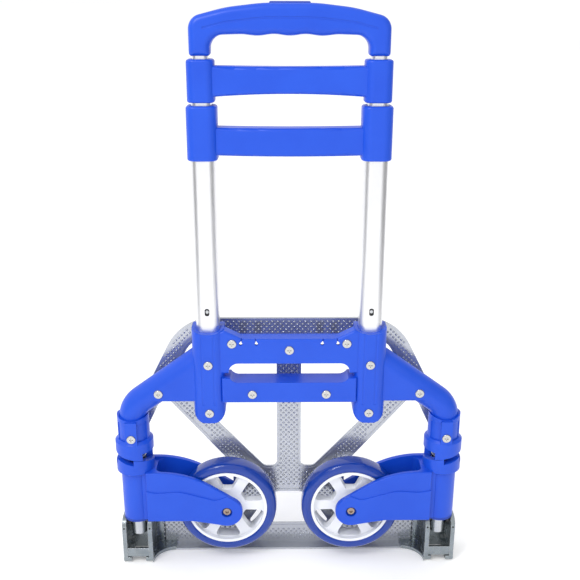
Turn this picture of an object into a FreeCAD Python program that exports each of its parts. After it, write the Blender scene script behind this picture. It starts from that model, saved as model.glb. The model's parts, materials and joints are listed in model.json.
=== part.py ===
import FreeCAD, Part
import os
from math import acos, cos, pi, radians, sin, tan

# Folding platform cart, folded: toe plate upright, wheels turned in between the legs, handle down.
# X runs across the cart, Y from the wheel side to the toe-plate side, Z up. Every size is in mm.
# Shapes are drawn with the mast tubes in the plane Y = 0; centre_on_base() moves them at the end.

V = FreeCAD.Vector

# ---- clearances
SLIDE_GAP = 0.25          # between a sliding plug or bush and its tube
SHAFT_GAP = 0.06          # radial running clearance on a shaft
MOVE_GAP = 0.4            # between a moving moulding and its neighbour

# ---- mast: three telescoping stages on two tubes
TUBE_X = 88.0
OUTER_TUBE = 25.0
OUTER_CORNER = 7.5
MID_TUBE = OUTER_TUBE - 4.5
MID_CORNER = OUTER_CORNER - 1.3
TOP_TUBE = MID_TUBE - 4.5
TOP_CORNER = MID_CORNER - 1.2
TUBE_WALL = 1.2
STAGE_TRAVEL = 187.0
OUTER_BOTTOM = 191.0
OUTER_TOP = 520.0
LOCK_PIN_Z = 314.0
LOCK_PIN_RADIUS = 2.2
LOCK_HOLE_HALF_HEIGHT = 4.2
PIN_LENGTH = 9.0
BLOCK_SKIRT = 18.0        # height of a lock block below and above its tube's end
BLOCK_HEIGHT = 28.0
SPIGOT_HEIGHT = 12.0
TOP_STAGE_RISE = 44.0     # how far the top stage's lock pin sits above the middle stage's
BUSH_HEIGHT = 9.0

# ---- collars that bridge the two tubes
LOWER_COLLAR_WIDTH = OUTER_TUBE + 6.0
LOWER_COLLAR_CORNER = 9.5
LOWER_COLLAR_BOTTOM = OUTER_TOP - 44.0
LOWER_COLLAR_TOP = OUTER_TOP + 10.5
LOWER_BRIDGE_BOTTOM = OUTER_TOP - 38.5
LOWER_BRIDGE_TOP = OUTER_TOP - 10.5
UPPER_COLLAR_WIDTH = MID_TUBE + 7.1
UPPER_COLLAR_CORNER = 8.5
UPPER_COLLAR_BOTTOM = OUTER_TOP + 13.5
UPPER_COLLAR_TOP = OUTER_TOP + 55.0
UPPER_BRIDGE_BOTTOM = OUTER_TOP + 18.5
UPPER_BRIDGE_TOP = OUTER_TOP + 49.0
BRIDGE_HALF_DEPTH = 10.5
LOWER_BRIDGE_ARCH = -1.4   # the underside bulges down in the middle
UPPER_BRIDGE_ARCH = 3.5    # the underside rises in the middle
BRIDGE_SAG = 1.0           # both top edges dip this much in the middle
MID_TUBE_TOP = OUTER_TOP + 44.0

# ---- grip
GRIP_HALF_WIDTH = TUBE_X + TOP_TUBE / 2 + 2.3
GRIP_BOTTOM = OUTER_TOP + 58.0
GRIP_TOP = OUTER_TOP + 107.4
GRIP_UNDERSIDE = OUTER_TOP + 77.5
GRIP_HALF_DEPTH = 13.0
GRIP_LEG_WIDTH = TOP_TUBE + 4.6
GRIP_EDGE_ROUND = 6.5
GRIP_CREASE_DROP = 12.6     # the crease runs this far under the top
GRIP_CREASE_WIDTH = 1.8
GRIP_CREASE_DEPTH = 0.35
GRIP_CREASE_END = 14.0      # how far short of the grip's sides it stops
TOP_TUBE_TOP = OUTER_TOP + 80.0
BUTTON_HALF_WIDTH = 20.0
BUTTON_HALF_DEPTH = 6.0
BUTTON_PROUD = 1.4
BUTTON_TRAVEL = 4.0
YOKE_BOTTOM = OUTER_TOP + 87.8
YOKE_THICKNESS = 3.0
YOKE_HALF_WIDTH = TUBE_X + 3.0
SPRING_WELL_BOTTOM = OUTER_TOP + 80.0
ROD_RADIUS = 2.5

# ---- base frame: two moulded shells round the tubes, the legs and a carry slot
SOCKET_WIDTH = OUTER_TUBE + 10.0
SOCKET_FRONT = -20.0
SOCKET_BACK = 17.0
SOCKET_CORNER = 11.0
SOCKET_BOTTOM = 186.0
SOCKET_TOP = 295.8
SOCKET_SCOOP_RADIUS = 34.0
UPPER_BAR_FRONT = -18.0
UPPER_BAR_BACK = -4.0
UPPER_BAR_TOP = 285.0
UPPER_BAR_BOTTOM = 245.0
BACK_PLATE_BACK = 2.0
LOWER_BAR_FRONT = -20.0
LOWER_BAR_BACK = 5.0
LOWER_BAR_BOTTOM = 211.0
LOWER_BAR_TOP = 240.0
SLOT_HALF_WIDTH = TUBE_X - 22.0
SLOT_BOTTOM = 235.0
SLOT_TOP = 257.0
SLOT_CORNER = 10.5
ARM_BOTTOM = 209.6
ELBOW_RADIUS = 15.3
ELBOW_BEND = 27.2
ELBOW_BOTTOM = 170.0
ELBOW_BEND_Z = 184.5
ELBOW_TURN = 54.0
SHOULDER_RUN = 95.0       # straight run of the shoulder tube from the elbow to the socket
WEB_HALF_DEPTH = 15.2       # the web under the shoulder tube is a hair thinner than the tube
SHELL_WALL = 3.5
SCREW_HEAD_RADIUS = 5.0
SCREW_HEAD_PROUD = 1.2
SCREW_HEAD_SUNK = 1.0
SCREW_RADIUS = 2.0
SCREW_BOSS_RADIUS = 5.0
KEYHOLE_RADIUS = 1.9
KEYHOLE_SLIT = 1.1
KEYHOLE_Z = 280.0
KEYHOLES = ((52.5, 50.2), (35.5, 37.8))     # X of each hole, and of its slit's top end

# ---- legs
LEG_X = 176.3
LEG_RADIUS = 9.2
LEG_WALL = 1.5
LEG_BOTTOM = 35.5
LEG_TOP = 197.0
COLLAR_RADIUS = 17.8
CAM_RADIUS = 21.4
COLLAR_TOP = 190.5
COLLAR_SCOOP_RADIUS = 50.0
COLLAR_STEP = 158.0       # where the collar widens to the cam's radius
COLLAR_CAM_TOP = 146.5
COLLAR_SCREW_Z = 166.0
PANEL_DEPTH = 1.0
SPRING_CAVITY_RADIUS = 13.2
COLLAR_CAVITY_TOP = 153.0

# ---- wheel arm: a sleeve that turns and climbs on the leg, with a fork for the wheel
LIFT = 7.0                # how far the sleeve climbs while it turns 90 degrees
SLEEVE_RADIUS = 16.8
SLEEVE_BOTTOM = 60.0
SLEEVE_STEP = 117.5
SLEEVE_CHAMFER = 3.4
WASHER_THICKNESS = 3.0
BUSH_RADIUS = LEG_RADIUS + 2.3
BUSH_TOP = 98.0
FORK_OUTER = 19.3
FORK_PANEL_PROUD = 1.5
FORK_INNER = 14.6
FORK_START_X = -163.0
FORK_BOTTOM = 60.0
FORK_TOP = 122.0
FORK_BACK_RISE = 3.0      # the plate-side cheek stands this much higher
FORK_END_RADIUS = 18.0
FORK_TOP_SLOPE = 33.0     # fall of the cheek's top line towards the axle, in degrees
FORK_BOTTOM_SLOPE = 10.0
FORK_CAVITY_X = 152.0     # wall behind the wheel

# ---- wheel
WHEEL_X = 71.6
WHEEL_Z = 71.5
WHEEL_RADIUS = 57.5
WHEEL_HALF_WIDTH = 12.6
RIM_RADIUS = 46.0
RIM_THICKNESS = 3.2
RIM_HALF_WIDTH = 11.4
HUB_RADIUS = 12.5
SPOKES = 6
AXLE_RADIUS = 3.5
AXLE_HEAD_RADIUS = 4.6
AXLE_SINK_RADIUS = 6.2
AXLE_HEAD_THICKNESS = 2.6
AXLE_HEAD_RECESS = 1.6
NUT_RADIUS = 5.6
NUT_THICKNESS = 3.6
WHEEL_BUSH_RADIUS = 7.0

# ---- toe plate and its hinge brackets
PIVOT_Z = 49.0
PLATE_FACE = 23.4
PLATE_THICKNESS = 2.2
PLATE_BACK = 28.0
PLATE_TOP = 294.0
PLATE_HALF_WIDTH = 195.0
PLATE_SHOULDER_Z = 146.0
PLATE_TOP_HALF_WIDTH = 120.5
PLATE_TOP_CORNER = 60.0
PLATE_BOTTOM = 0.0
HEM_WIDTH = 2.4
BAND_WIDTH = 24.0
RIB_HALF_WIDTH = 14.0
BEAD_SETBACK = 2.6
BEAD_WIDTH = 1.0
BEAD_RISE = 0.45
FLANGE_DEPTH = 14.0
FLANGE_HALF_WIDTH = 152.0
EAR_OUTER = (190.0, 194.8)
EAR_INNER = (160.2, 165.2)
EAR_FRONT = 14.7
EAR_TOP = 56.7
EAR_CORNER = 11.7
EAR_DIMPLE_Z = 46.0
EAR_DIMPLE_RADIUS = 1.2
GUSSET_X = -150.0
FOOT_SWEEP_X = -136.0
FOOT_SWEEP_RADIUS = 24.0
FOOT_HEIGHT = 4.0
PIVOT_PIN_RADIUS = 3.0
BRACKET_BACK_WALL = 16.8
RIVET_RADIUS = 3.0

parts = {}


# ------------------------------------------------------------------ small tools
def box(x0, x1, y0, y1, z0, z1):
    return Part.makeBox(x1 - x0, y1 - y0, z1 - z0, V(x0, y0, z0))


def post(x, y, z0, z1, radius):
    return Part.makeCylinder(radius, z1 - z0, V(x, y, z0))


def spindle(x, z, y0, y1, radius):
    return Part.makeCylinder(radius, y1 - y0, V(x, y0, z), V(0, 1, 0))


def crosswise(y, z, x0, x1, radius):
    return Part.makeCylinder(radius, x1 - x0, V(x0, y, z), V(1, 0, 0))


def rounded_face(corners, place):
    """A flat face whose outline has straight sides and a round at each corner (a, b, radius)."""
    sides = []
    points = [V(a, b, 0) for a, b, radius in corners]
    count = len(points)
    for i in range(count):
        here = points[i]
        back = (points[i - 1] - here).normalize()
        onward = (points[(i + 1) % count] - here).normalize()
        radius = corners[i][2]
        if radius == 0:
            sides.append((here, here, None))
            continue
        half_angle = acos(max(-1.0, min(1.0, back.dot(onward)))) / 2
        reach = radius / tan(half_angle)
        inward = (back + onward).normalize()
        middle = here + inward * (radius / sin(half_angle) - radius)
        sides.append((here + back * reach, here + onward * reach, middle))
    edges = []
    for i in range(count):
        start, finish, middle = sides[i]
        following = sides[(i + 1) % count][0]
        if middle is not None:
            arc = Part.Arc(place(start.x, start.y), place(middle.x, middle.y), place(finish.x, finish.y))
            edges.append(arc.toShape())
        if (following - finish).Length > 1e-6:
            edges.append(Part.makeLine(place(finish.x, finish.y), place(following.x, following.y)))
    return Part.Face(Part.Wire(edges))


def front_prism(corners, y0, y1):
    """Extrude an outline drawn in X and Z from y0 to y1."""
    face = rounded_face(corners, lambda a, b: V(a, y0, b))
    return face.extrude(V(0, y1 - y0, 0))


def plan_prism(corners, z0, z1):
    """Extrude an outline drawn in X and Y from z0 to z1."""
    face = rounded_face(corners, lambda a, b: V(a, b, z0))
    return face.extrude(V(0, 0, z1 - z0))


def side_prism(corners, x0, x1):
    """Extrude an outline drawn in Y and Z from x0 to x1."""
    face = rounded_face(corners, lambda a, b: V(x0, a, b))
    return face.extrude(V(x1 - x0, 0, 0))


def square_bar(x, width, corner, z0, z1, depth=None):
    half = width / 2
    deep = half if depth is None else depth / 2
    corners = [(x - half, -deep, corner), (x + half, -deep, corner)]
    corners += [(x + half, deep, corner), (x - half, deep, corner)]
    return plan_prism(corners, z0, z1)


def square_tube(x, width, corner, wall, z0, z1):
    bore = square_bar(x, width - 2 * wall, corner - wall, z0 - 1, z1 + 1)
    return square_bar(x, width, corner, z0, z1).cut(bore)


def mirrored(shape):
    return shape.mirror(V(0, 0, 0), V(1, 0, 0))


def fused(shapes):
    return shapes[0].multiFuse(shapes[1:]).removeSplitter()


def lies_at(low, high, level):
    return abs(low - level) < 1e-4 and abs(high - level) < 1e-4


def soften_faces_at(solid, y, radius):
    """Round the outline of a prism's flat face at the given Y."""
    edges = [edge for edge in solid.Edges if lies_at(edge.BoundBox.YMin, edge.BoundBox.YMax, y)]
    return solid.makeFillet(radius, edges)


def soften_levels_at(solid, z, radius):
    """Round the outline of a prism's flat face at the given Z."""
    edges = [edge for edge in solid.Edges if lies_at(edge.BoundBox.ZMin, edge.BoundBox.ZMax, z)]
    return solid.makeFillet(radius, edges)


def hexagon(x, y, z, across_corners):
    """A six-sided face square to Y."""
    reach = across_corners / 2
    corners = [V(x + reach * cos(k * pi / 3), y, z + reach * sin(k * pi / 3)) for k in range(7)]
    return Part.Face(Part.makePolygon(corners))


def add(name, *shapes):
    """Keep a sub-part; more than one shape makes a group of separate solids."""
    parts[name] = shapes[0] if len(shapes) == 1 else Part.makeCompound(list(shapes))


def add_pair(name, left):
    add(name + "_left", left)
    add(name + "_right", mirrored(left))


# ------------------------------------------------------------------ screws
def screw(x, z, face_y, length):
    """A pan-head screw driven towards +Y, its head part sunk in the face."""
    head_front = face_y - SCREW_HEAD_PROUD
    head = spindle(x, z, head_front, face_y + SCREW_HEAD_SUNK, SCREW_HEAD_RADIUS)
    head = soften_faces_at(head, head_front, 0.9)
    recess = [box(x - 2.4, x + 2.4, head_front - 1, head_front + 1.1, z - 0.45, z + 0.45)]
    recess.append(box(x - 0.45, x + 0.45, head_front - 1, head_front + 1.1, z - 2.4, z + 2.4))
    shank = spindle(x, z, face_y + SCREW_HEAD_SUNK, face_y + length, SCREW_RADIUS)
    return head.cut(fused(recess)).fuse(shank)


def screw_hole(x, z, face_y, length):
    sink = spindle(x, z, face_y - 3, face_y + SCREW_HEAD_SUNK, SCREW_HEAD_RADIUS)
    return sink.fuse(spindle(x, z, face_y + SCREW_HEAD_SUNK, face_y + length, SCREW_RADIUS))


# Each screw: X, Z, the face it sits in, its length under that face.
SOCKET_SCREWS = [(TUBE_X, 255.5, SOCKET_FRONT, 12.0), (TUBE_X, 198.0, SOCKET_FRONT, 12.0)]
UPPER_SCREWS = [(62.0, 280.0, UPPER_BAR_FRONT, 18.0), (0.0, 272.5, UPPER_BAR_FRONT, 18.0)]
LOWER_SCREWS = [(40.5, 221.0, LOWER_BAR_FRONT, 22.0)]
ARM_SCREWS = [(144.2, 219.2, -WEB_HALF_DEPTH, 24.0)]


def both_sides(rows):
    """Repeat each screw on the other side, unless it is on the middle line."""
    return rows + [(-x, z, face, length) for x, z, face, length in rows if x != 0]


SHELL_SCREWS = both_sides(SOCKET_SCREWS + UPPER_SCREWS + LOWER_SCREWS + ARM_SCREWS)


# ------------------------------------------------------------------ base frame
def socket(x):
    """The tall barrel that holds one mast tube, with a round foot and a dipped rim."""
    half = SOCKET_WIDTH / 2
    plan = [(x - half, SOCKET_FRONT, SOCKET_CORNER), (x + half, SOCKET_FRONT, SOCKET_CORNER)]
    plan += [(x + half, SOCKET_BACK, SOCKET_CORNER), (x - half, SOCKET_BACK, SOCKET_CORNER)]
    barrel = plan_prism(plan, SOCKET_BOTTOM, SOCKET_TOP)
    outline = [(x - half, SOCKET_BOTTOM, 14), (x + half, SOCKET_BOTTOM, 14)]
    outline += [(x + half, SOCKET_TOP, 0), (x - half, SOCKET_TOP, 0)]
    barrel = barrel.common(front_prism(outline, SOCKET_FRONT - 1, SOCKET_BACK + 1))
    dip = SOCKET_SCOOP_RADIUS - (SOCKET_SCOOP_RADIUS ** 2 - half ** 2) ** 0.5
    scoop_z = SOCKET_TOP - dip + SOCKET_SCOOP_RADIUS
    scoop = spindle(x, scoop_z, SOCKET_FRONT - 1, SOCKET_BACK + 1, SOCKET_SCOOP_RADIUS)
    barrel = barrel.cut(scoop)
    flutes = []
    for offset in (-6.5, 6.5):
        flutes.append(post(x + offset, SOCKET_FRONT - 2.3, SOCKET_BOTTOM + 22, SOCKET_TOP, 2.8))
    return barrel.cut(fused(flutes))


def upper_bar():
    end = TUBE_X - SOCKET_WIDTH / 2 + 5.5
    right = [(50.5, UPPER_BAR_TOP, 8), (end - 6, 295, 4), (end, 293, 0), (end, UPPER_BAR_BOTTOM, 0)]
    left = [(-x, z, radius) for x, z, radius in reversed(right)]
    bar = front_prism(left + right, UPPER_BAR_FRONT, UPPER_BAR_BACK)
    return soften_faces_at(bar, UPPER_BAR_FRONT, 2.6)


def back_plate():
    """The thin tie behind the upper bar."""
    return box(-TUBE_X, TUBE_X, UPPER_BAR_BACK, BACK_PLATE_BACK, UPPER_BAR_BOTTOM, UPPER_BAR_TOP - 1)


def lower_bar():
    end = TUBE_X - SOCKET_WIDTH / 2 + 3
    outline = [(-end, LOWER_BAR_BOTTOM, 0), (end, LOWER_BAR_BOTTOM, 0)]
    outline += [(end, LOWER_BAR_TOP, 0), (-end, LOWER_BAR_TOP, 0)]
    bar = front_prism(outline, LOWER_BAR_FRONT, LOWER_BAR_BACK)
    return soften_faces_at(bar, LOWER_BAR_FRONT, 1.6)


SHOULDER_TOP = (-TUBE_X, 262.5)      # where the shoulder tube's middle line meets the socket
SHOULDER_LOW = (-160.8, ARM_BOTTOM)
ARM_POCKET = [(-112, 250, 3), (-139, 230, 3), (-139, 215, 3), (-112, 215, 3)]


def arm_web():
    """The flat web under the left shoulder tube, as thick as the tube."""
    outline = [SHOULDER_TOP + (0,), SHOULDER_LOW + (0,), (SHOULDER_TOP[0], ARM_BOTTOM, 0)]
    web = front_prism(outline, -WEB_HALF_DEPTH, WEB_HALF_DEPTH)
    level = [edge for edge in web.Edges if lies_at(edge.BoundBox.ZMin, edge.BoundBox.ZMax, ARM_BOTTOM)]
    long_edges = [edge for edge in level if edge.BoundBox.XLength > 50]
    return web.makeFillet(3.0, long_edges)


def elbow():
    """The left shoulder tube: from the leg collar up, round the elbow and on to the tube socket."""
    straight = post(-LEG_X, 0, ELBOW_BOTTOM, ELBOW_BEND_Z, ELBOW_RADIUS)
    ring = Part.Wire([Part.makeCircle(ELBOW_RADIUS, V(-LEG_X, 0, ELBOW_BEND_Z))])
    bend_centre = V(-LEG_X + ELBOW_BEND, 0, ELBOW_BEND_Z)
    bend = Part.Face(ring).revolve(bend_centre, V(0, 1, 0), ELBOW_TURN)
    turn = radians(ELBOW_TURN)
    mouth = bend_centre + V(-ELBOW_BEND * cos(turn), 0, ELBOW_BEND * sin(turn))
    inner_run = Part.makeCylinder(ELBOW_RADIUS, SHOULDER_RUN, mouth, V(sin(turn), 0, cos(turn)))
    return fused([straight, bend, inner_run])


def keyholes():
    """Strap keyholes in the upper bar: a round hole under a shallow slit up to the top edge."""
    cuts = []
    half = KEYHOLE_SLIT / 2
    wall_back = UPPER_BAR_FRONT + SHELL_WALL
    for side in (-1, 1):
        for hole_x, top_x in KEYHOLES:
            x, top = side * hole_x, side * top_x
            cuts.append(spindle(x, KEYHOLE_Z, UPPER_BAR_FRONT - 1, wall_back + 1, KEYHOLE_RADIUS))
            slit = [(x - half, KEYHOLE_Z, 0), (x + half, KEYHOLE_Z, 0)]
            slit += [(top + half, 292, 0), (top - half, 292, 0)]
            cuts.append(front_prism(slit, UPPER_BAR_FRONT - 1, wall_back - 0.5))
            cuts.append(box(x - 4, x + 4, wall_back, UPPER_BAR_BACK + 0.1, 266, 282))
    return fused(cuts)


def keyhole_notches():
    """The windows in the tie behind the keyholes."""
    return fused([box(side * hole_x - 4, side * hole_x + 4, UPPER_BAR_BACK - 1, BACK_PLATE_BACK + 1, 264, 282)
                  for side in (-1, 1) for hole_x, top_x in KEYHOLES])


def shell_pockets():
    """Hollows inside the shells, left solid round each screw."""
    pockets = [box(-28, 28, UPPER_BAR_FRONT + SHELL_WALL, UPPER_BAR_BACK, SLOT_TOP + 3.5, UPPER_BAR_TOP - 4)]
    pockets.append(box(-66, 66, LOWER_BAR_FRONT + SHELL_WALL, LOWER_BAR_BACK - SHELL_WALL, 215, 230))
    arm_depth = ELBOW_RADIUS - SHELL_WALL
    arm_hollow = front_prism(ARM_POCKET, -arm_depth, arm_depth)
    pockets += [arm_hollow, mirrored(arm_hollow)]
    bosses = [spindle(x, z, -25, 25, SCREW_BOSS_RADIUS) for x, z, face, length in SHELL_SCREWS]
    return fused(pockets).cut(fused(bosses))


def make_frame():
    solids = [upper_bar(), lower_bar(), arm_web(), mirrored(arm_web()), elbow(), mirrored(elbow())]
    body = fused(solids + [socket(-TUBE_X), socket(TUBE_X)])
    slot = [(-SLOT_HALF_WIDTH, SLOT_BOTTOM, SLOT_CORNER), (SLOT_HALF_WIDTH, SLOT_BOTTOM, SLOT_CORNER)]
    slot += [(SLOT_HALF_WIDTH, SLOT_TOP, SLOT_CORNER), (-SLOT_HALF_WIDTH, SLOT_TOP, SLOT_CORNER)]
    carry_slot = front_prism(slot, -30, 30)
    cuts = [carry_slot, keyholes(), shell_pockets()]
    for side in (-1, 1):
        cuts.append(square_bar(side * TUBE_X, OUTER_TUBE, OUTER_CORNER, OUTER_BOTTOM, SOCKET_TOP + 10))
        cuts.append(post(side * LEG_X, 0, ELBOW_BOTTOM - 1, LEG_TOP, LEG_RADIUS))
    holes = [screw_hole(*row) for row in SHELL_SCREWS]
    body = body.cut(fused(cuts)).cut(fused(holes))
    front = body.common(box(-250, 250, -60, 0, 100, 400))
    rear = body.common(box(-250, 250, 0, 60, 100, 400))
    tie = back_plate().cut(carry_slot).cut(fused(holes)).cut(keyhole_notches())
    tubes = [square_bar(side * TUBE_X, OUTER_TUBE, OUTER_CORNER, OUTER_BOTTOM, 400) for side in (-1, 1)]
    tie = tie.cut(fused(tubes)).cut(box(-250, 250, -60, 0, 100, 400).cut(box(-70, 70, -60, 0, 100, 400)))
    front = front.cut(tie)
    add("front_shell", front)
    add("rear_shell", rear.fuse(tie).removeSplitter())
    add("shell_screws", *[screw(*row) for row in SHELL_SCREWS])


def make_outer_tubes():
    left = square_tube(-TUBE_X, OUTER_TUBE, OUTER_CORNER, TUBE_WALL, OUTER_BOTTOM, OUTER_TOP)
    lock_holes = []
    for z in (LOCK_PIN_Z, LOCK_PIN_Z + STAGE_TRAVEL):
        outline = [(-TUBE_X - LOCK_PIN_RADIUS - 0.3, z - LOCK_HOLE_HALF_HEIGHT, 2.2)]
        outline += [(-TUBE_X + LOCK_PIN_RADIUS + 0.3, z - LOCK_HOLE_HALF_HEIGHT, 2.2)]
        outline += [(-TUBE_X + LOCK_PIN_RADIUS + 0.3, z + LOCK_HOLE_HALF_HEIGHT, 2.2)]
        outline += [(-TUBE_X - LOCK_PIN_RADIUS - 0.3, z + LOCK_HOLE_HALF_HEIGHT, 2.2)]
        lock_holes.append(front_prism(outline, -OUTER_TUBE, 0))
    screw_holes = [screw_hole(-x, z, face, length) for x, z, face, length in SOCKET_SCREWS]
    add_pair("outer_tube", left.cut(fused(lock_holes + screw_holes)))


def collar_pair(width, corner, bottom, top, tube, tube_corner, lip_bore, lip_corner, lip):
    """Both tube collars of a bridge, each bored for its tube with a narrower lip at the top."""
    collars = []
    for side in (-1, 1):
        x = side * TUBE_X
        barrel = square_bar(x, width, corner, bottom, top)
        barrel = soften_levels_at(barrel, bottom, 2.0)
        barrel = soften_levels_at(barrel, top, 2.6)
        barrel = barrel.cut(square_bar(x, tube, tube_corner, bottom - 1, top - lip))
        collars.append(barrel.cut(square_bar(x, lip_bore, lip_corner, top - lip - 1, top + 1)))
    return collars


def bridge(bottom, top, tube, arch):
    """The crossbar between two collars, its top dipped and its underside arched."""
    half = TUBE_X - tube / 2 + 6
    front = -BRIDGE_HALF_DEPTH
    low_left, low_right = V(-half, front, bottom), V(half, front, bottom)
    top_left, top_right = V(-half, front, top), V(half, front, top)
    edges = [Part.Arc(low_left, V(0, front, bottom + arch), low_right).toShape()]
    edges.append(Part.makeLine(low_right, top_right))
    edges.append(Part.Arc(top_right, V(0, front, top - BRIDGE_SAG), top_left).toShape())
    edges.append(Part.makeLine(top_left, low_left))
    bar = Part.Face(Part.Wire(edges)).extrude(V(0, 2 * BRIDGE_HALF_DEPTH, 0))
    long_edges = [edge for edge in bar.Edges if edge.BoundBox.YLength < 1e-3 and edge.BoundBox.XLength > half]
    return bar.makeFillet(3.0, long_edges)


def long_bores(width, corner):
    """Both tube bores, long enough to clear any collar."""
    bottom, top = OUTER_TOP - 120, OUTER_TOP + 80
    left = square_bar(-TUBE_X, width, corner, bottom, top)
    return Part.makeCompound([left, mirrored(left)])


def guide_bushes(outer, outer_corner, inner, inner_corner, bottom):
    """The pair of rings on the tube ends that guide the next, narrower tubes."""
    rings = []
    for side in (-1, 1):
        ring = square_bar(side * TUBE_X, outer, outer_corner, bottom, bottom + BUSH_HEIGHT)
        bore_width = inner + 2 * SLIDE_GAP
        bore = square_bar(side * TUBE_X, bore_width, inner_corner + SLIDE_GAP, bottom - 1, bottom + 20)
        rings.append(ring.cut(bore))
    return rings


def make_lower_collar():
    lip_bore = MID_TUBE + 2 * MOVE_GAP
    lip_corner = MID_CORNER + MOVE_GAP
    lip = LOWER_COLLAR_TOP - OUTER_TOP - BUSH_HEIGHT
    collars = collar_pair(LOWER_COLLAR_WIDTH, LOWER_COLLAR_CORNER, LOWER_COLLAR_BOTTOM, LOWER_COLLAR_TOP,
                          OUTER_TUBE, OUTER_CORNER, lip_bore, lip_corner, lip)
    bar = bridge(LOWER_BRIDGE_BOTTOM, LOWER_BRIDGE_TOP, OUTER_TUBE, LOWER_BRIDGE_ARCH)
    add("lower_collar", fused(collars + [bar.cut(long_bores(OUTER_TUBE, OUTER_CORNER))]))
    add("lower_guide_bushes", *guide_bushes(OUTER_TUBE, OUTER_CORNER, MID_TUBE, MID_CORNER, OUTER_TOP))


def make_legs():
    left = post(-LEG_X, 0, LEG_BOTTOM, LEG_TOP, LEG_RADIUS)
    left = left.cut(post(-LEG_X, 0, LEG_BOTTOM - 1, LEG_TOP + 1, LEG_RADIUS - LEG_WALL))
    left = left.cut(crosswise(0, PIVOT_Z, -LEG_X - 20, -LEG_X + 20, PIVOT_PIN_RADIUS + SHAFT_GAP))
    left = left.cut(spindle(-LEG_X, COLLAR_SCREW_Z, -20, 0, SCREW_RADIUS))
    add_pair("leg_tube", left)


# ------------------------------------------------------------------ helical cam between collar and sleeve
CAM_SLOPE = LIFT / 90.0          # climb per degree of turn
RAMP_TIP = -58.0                 # where the collar's ramp ends, in degrees about the left leg from +X
RAMP_TIP_Z = 137.6
SLEEVE_RAMP_START = -86.5
SLEEVE_VALLEY = 132.8


def collar_edge(angle):
    """Height of the collar's lower edge: two equal ramps that fall anticlockwise."""
    past_tip = (RAMP_TIP - angle) % 180.0
    return min(COLLAR_CAM_TOP, RAMP_TIP_Z + CAM_SLOPE * past_tip)


def sleeve_edge(angle):
    """Height of the sleeve's upper edge: a ramp under the collar's tip, then a lower tooth."""
    along = (angle - SLEEVE_RAMP_START) % 180.0
    ramp_span = 90.0 + RAMP_TIP - SLEEVE_RAMP_START
    ramp_top = RAMP_TIP_Z + CAM_SLOPE * (RAMP_TIP - SLEEVE_RAMP_START) - MOVE_GAP
    if along <= ramp_span:
        return ramp_top - CAM_SLOPE * along
    tooth_share = (along - ramp_span) / (180.0 - ramp_span)
    tooth_top = SLEEVE_VALLEY + 5.0
    return tooth_top + (SLEEVE_VALLEY - tooth_top) * tooth_share


def helical_cutter(edge_height, breaks, upward):
    """A ring of material above or below a stepped helical edge, round the left leg."""
    inner, outer = LEG_RADIUS + 1.0, CAM_RADIUS + 4.0
    far = 260.0 if upward else 40.0
    pieces = []
    for half_turn in (0.0, 180.0):
        for start, finish in breaks:
            count = max(1, round((finish - start) / 12.0))
            wires = []
            for i in range(count + 1):
                angle = start + (finish - start) * i / count
                nudged = min(max(angle, start + 1e-3), finish - 1e-3)
                height = edge_height(nudged)
                turn = radians(angle + half_turn)
                corners = [(inner, height), (outer, height), (outer, far), (inner, far)]
                points = [V(-LEG_X + r * cos(turn), r * sin(turn), z) for r, z in corners]
                wires.append(Part.makePolygon(points + points[:1]))
            pieces.append(Part.makeLoft(wires, True, True))
    return fused(pieces)


def collar_panels():
    """Shallow panels sunk in the collar's skin, either side of the screw pad and round the back."""
    skin = post(-LEG_X, 0, 161, 182.5, COLLAR_RADIUS + 4)
    skin = skin.cut(post(-LEG_X, 0, 160, 184, COLLAR_RADIUS - PANEL_DEPTH))
    sectors = []
    for middle in (-132.0, -48.0, 48.0, 132.0):
        first, last = radians(middle - 22.0), radians(middle + 22.0)
        reach = 40.0
        corners = [V(-LEG_X, 0, 161), V(-LEG_X + reach * cos(first), reach * sin(first), 161)]
        corners.append(V(-LEG_X + reach * cos(last), reach * sin(last), 161))
        sectors.append(Part.Face(Part.makePolygon(corners + corners[:1])).extrude(V(0, 0, 21.5)))
    return skin.common(fused(sectors))


def make_cam_collars():
    """The fixed collar on the left leg, its lower edge a two-start ramp, and the same on the right."""
    upper = post(-LEG_X, 0, COLLAR_STEP - 2, COLLAR_TOP, COLLAR_RADIUS)
    flare = Part.makeCone(CAM_RADIUS, COLLAR_RADIUS, CAM_RADIUS - COLLAR_RADIUS, V(-LEG_X, 0, COLLAR_STEP))
    lower = post(-LEG_X, 0, RAMP_TIP_Z - 5, COLLAR_STEP, CAM_RADIUS)
    pad = box(-LEG_X - 6.5, -LEG_X + 6.5, -CAM_RADIUS + 1.2, -10, COLLAR_STEP - 4, 186)
    pad = pad.common(post(-LEG_X, 0, 100, 200, CAM_RADIUS - 0.2))
    body = fused([upper, flare, lower, pad])
    body = body.cut(collar_panels())
    scoop = spindle(-LEG_X, 186.8 + COLLAR_SCOOP_RADIUS, -40, 40, COLLAR_SCOOP_RADIUS)
    breaks = [(RAMP_TIP - 180.0, RAMP_TIP - (COLLAR_CAM_TOP - RAMP_TIP_Z) / CAM_SLOPE)]
    breaks.append((breaks[0][1], RAMP_TIP))
    cuts = [scoop, helical_cutter(collar_edge, breaks, False)]
    cuts.append(post(-LEG_X, 0, 100, 200, LEG_RADIUS))
    cuts.append(post(-LEG_X, 0, ELBOW_BOTTOM, 200, ELBOW_RADIUS))
    cuts.append(elbow())
    cuts.append(post(-LEG_X, 0, 100, COLLAR_CAVITY_TOP, SPRING_CAVITY_RADIUS))
    screw_face = -CAM_RADIUS + 1.2
    cuts.append(screw_hole(-LEG_X, COLLAR_SCREW_Z, screw_face, 16.0))
    for cut in cuts:
        body = body.cut(cut)
    add_pair("cam_collar", body)
    add("collar_screws", *[screw(side * LEG_X, COLLAR_SCREW_Z, screw_face, 16.0) for side in (-1, 1)])


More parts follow.
